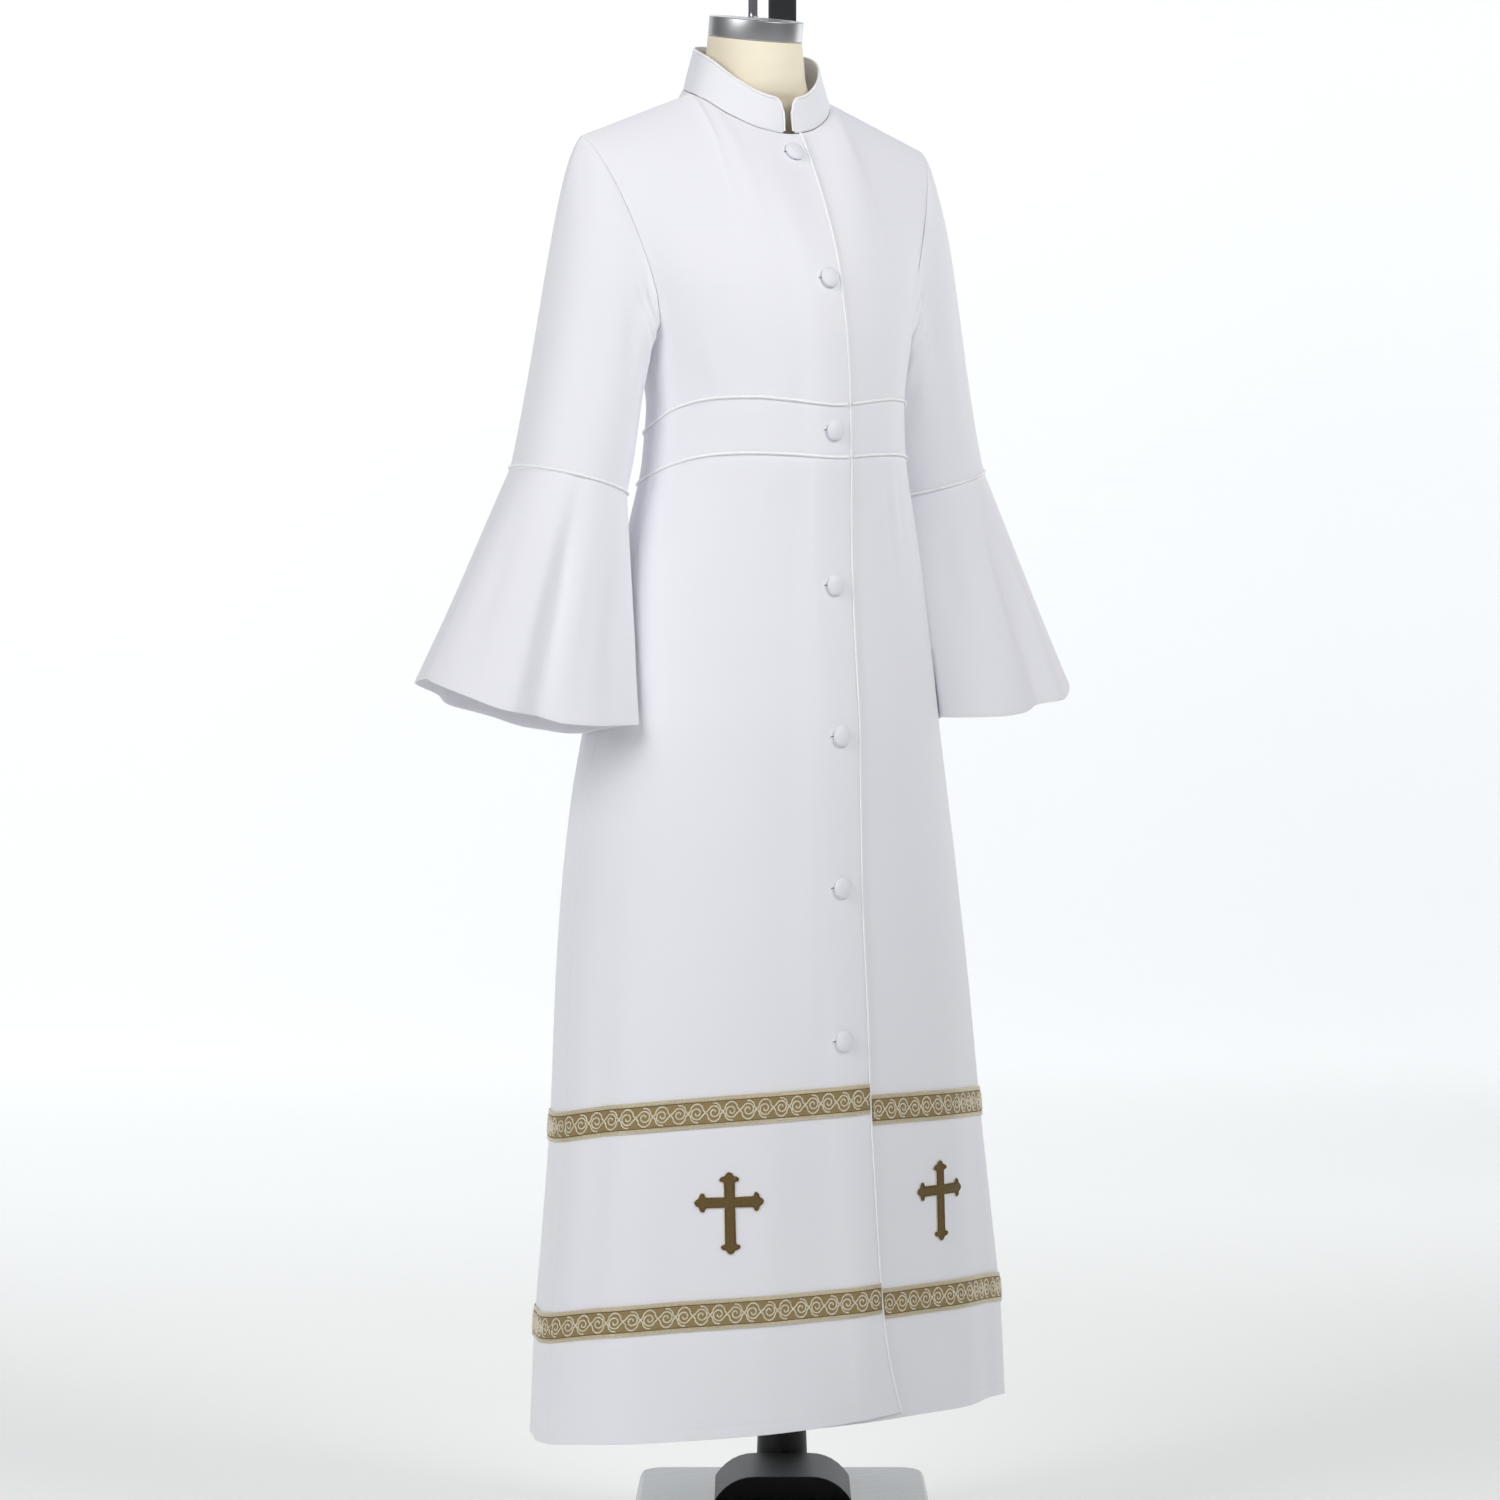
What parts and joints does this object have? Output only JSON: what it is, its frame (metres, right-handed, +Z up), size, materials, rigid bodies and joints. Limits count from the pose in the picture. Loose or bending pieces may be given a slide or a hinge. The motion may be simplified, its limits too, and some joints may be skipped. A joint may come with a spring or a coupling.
{
  "type": "choir robe on limbless dress form with stand",
  "caption": "White full-length choir robe with bell sleeves, standing collar, gold scroll braid and applied crosses, worn by a limbless dress form on a pedal stand",
  "frame": {"origin": "on the floor, straight below the middle of the dress form's neck and the robe's side seams' axis, on the underside of the stand's base", "axes": "+Z up, the robe's front faces -Y, +X is the wearer's left; the stand is turned 33 degrees about Z"},
  "size_m": [0.796, 0.6475, 1.778],
  "materials": {
    "robe_cloth": "smooth white polyester twill with a soft cool sheen",
    "piping_satin": "white satin-faced piping cord",
    "button_cloth": "white cloth stretched over a button",
    "gold_braid": "woven antique-gold braid with pale scrolls and metallic thread",
    "cross_cloth": "brown-gold metallic cloth with a pale stitched outline",
    "form_jersey": "matte natural linen-jersey cover",
    "cap_metal": "brushed",
    "rod_chrome": "polished",
    "base_gloss": "dark grey gloss enamel on cast iron",
    "housing_plastic": "black, finely textured",
    "post_paint": "black satin paint"
  },
  "bodies": {
    "root": {"arm": "post_paint", "base": "base_gloss", "bell_left": "robe_cloth", "bell_right": "robe_cloth", "bodice_back": "robe_cloth", "bodice_front_left": "robe_cloth", "bodice_front_right": "robe_cloth", "braid_high_back": "gold_braid", "braid_high_front_left": "gold_braid", "braid_high_front_right": "gold_braid", "braid_low_back": "gold_braid", "braid_low_front_left": "gold_braid", "braid_low_front_right": "gold_braid", "button_1": "button_cloth", "button_2": "button_cloth", "button_3": "button_cloth", "button_4": "button_cloth", "button_5": "button_cloth", "button_6": "button_cloth", "button_7": "button_cloth", "collar": "robe_cloth", "cross_left": "cross_cloth", "cross_right": "cross_cloth", "dress_form": "form_jersey", "hang_rod": "rod_chrome", "neck_cap": "cap_metal", "pedal_housing": "housing_plastic", "piping_collar": "piping_satin", "piping_front_edge": "piping_satin", "piping_sleeve_left": "piping_satin", "piping_sleeve_right": "piping_satin", "piping_waist_high_back": "piping_satin", "piping_waist_high_front_left": "piping_satin", "piping_waist_high_front_right": "piping_satin", "piping_waist_low_back": "piping_satin", "piping_waist_low_front_left": "piping_satin", "piping_waist_low_front_right": "piping_satin", "post": "post_paint", "post_sleeve": "housing_plastic", "skirt_back": "robe_cloth", "skirt_front_left": "robe_cloth", "skirt_front_right": "robe_cloth", "sleeve_left": "robe_cloth", "sleeve_right": "robe_cloth", "waistband_back": "robe_cloth", "waistband_front_left": "robe_cloth", "waistband_front_right": "robe_cloth"}
  },
  "joints": []
}
